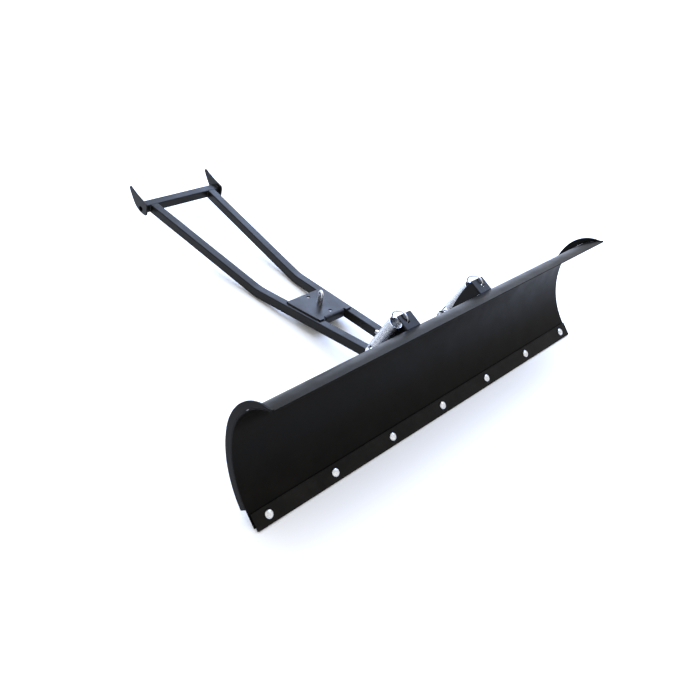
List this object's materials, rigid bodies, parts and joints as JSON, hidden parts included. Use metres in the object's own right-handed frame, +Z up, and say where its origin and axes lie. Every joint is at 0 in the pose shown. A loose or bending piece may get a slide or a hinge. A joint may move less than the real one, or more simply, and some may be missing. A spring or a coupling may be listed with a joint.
{
  "type": "snow plow blade",
  "caption": "Curved steel plow blade with a replaceable wear bar, trip springs and an angling swivel, carried by a bent push frame with a lifting loop.",
  "frame": {"origin": "on the ground, at the middle of the whole object's outline seen from above", "axes": "+X to the right end of the blade as seen from in front of it, +Y from the cutting edge back to the machine, +Z up; the blade's hollow face looks along -Y"},
  "size_m": [1.5, 1.396, 0.3843],
  "materials": {
    "black_paint": "semi-gloss black powder coat",
    "wear_steel": "satin black painted steel bar",
    "zinc": "bright zinc plate"
  },
  "bodies": {
    "push_frame": {"push_tube_left": "black_paint", "push_tube_right": "black_paint", "horn_plate_left": "black_paint", "horn_plate_right": "black_paint", "rear_crossbar": "black_paint", "mid_plate": "black_paint", "lifting_loop": "zinc", "loop_nut_1": "zinc", "loop_nut_2": "zinc", "king_sleeve": "black_paint", "king_bolt": "zinc", "king_nut": "zinc", "clamp_bridge": "black_paint"},
    "swivel": {"swivel_crossbar": "black_paint", "swivel_upper_plate": "black_paint", "swivel_lower_plate": "black_paint", "spring_arm_left": "black_paint", "spring_arm_right": "black_paint", "spring_bolt_left": "zinc", "spring_bolt_right": "zinc", "spring_nut_left": "zinc", "spring_nut_right": "zinc", "hinge_lug_left_inner": "black_paint", "hinge_lug_right_inner": "black_paint", "hinge_lug_left_outer": "black_paint", "hinge_lug_right_outer": "black_paint", "hinge_bolt_left": "zinc", "hinge_bolt_right": "zinc", "hinge_nut_left": "zinc", "hinge_nut_right": "zinc"},
    "blade": {"mouldboard": "black_paint", "wear_bar": "wear_steel", "wear_bolt_1": "zinc", "wear_bolt_2": "zinc", "wear_bolt_3": "zinc", "wear_bolt_4": "zinc", "wear_bolt_5": "zinc", "wear_bolt_6": "zinc", "wear_bolt_7": "zinc", "wear_nut_1": "zinc", "wear_nut_2": "zinc", "wear_nut_3": "zinc", "wear_nut_4": "zinc", "wear_nut_5": "zinc", "wear_nut_6": "zinc", "wear_nut_7": "zinc", "end_rib_left": "black_paint", "end_rib_right": "black_paint", "hinge_rib_left": "black_paint", "hinge_rib_right": "black_paint", "spring_flange_left": "black_paint", "spring_flange_right": "black_paint"},
    "left_spring": {"trip_spring_left": "zinc"},
    "right_spring": {"trip_spring_right": "zinc"},
    "clamp": {"angle_clamp": "zinc"}
  },
  "joints": [
    {"name": "angle_swing", "type": "hinge", "parent": "push_frame", "child": "swivel", "pos_m": [0, -0.483, 0.07], "axis": [0, 0, 1], "range_deg": [-30, 30]},
    {"name": "trip_hinge", "type": "hinge", "parent": "swivel", "child": "blade", "pos_m": [0, -0.593, 0.062], "axis": [1, 0, 0], "range_deg": [0, 25], "stiffness_Nm_per_rad": 160, "springref_deg": -28.65, "deforming": ["trip_spring_left", "trip_spring_right"]},
    {"name": "left_spring_pivot", "type": "hinge", "parent": "swivel", "child": "left_spring", "pos_m": [-0.176, -0.4945, 0.1825], "axis": [1, 0, 0], "range_deg": [0, 28]},
    {"name": "right_spring_pivot", "type": "hinge", "parent": "swivel", "child": "right_spring", "pos_m": [0.176, -0.4945, 0.1825], "axis": [1, 0, 0], "range_deg": [0, 28]},
    {"name": "clamp_turn", "type": "hinge", "parent": "push_frame", "child": "clamp", "pos_m": [0, -0.413, 0.1], "axis": [0, 0, 1], "range_deg": [0, 90]}
  ],
  "couplings": [
    {"joint": "left_spring_pivot", "follows": "trip_hinge", "ratio": 1.09},
    {"joint": "right_spring_pivot", "follows": "trip_hinge", "ratio": 1.09}
  ]
}
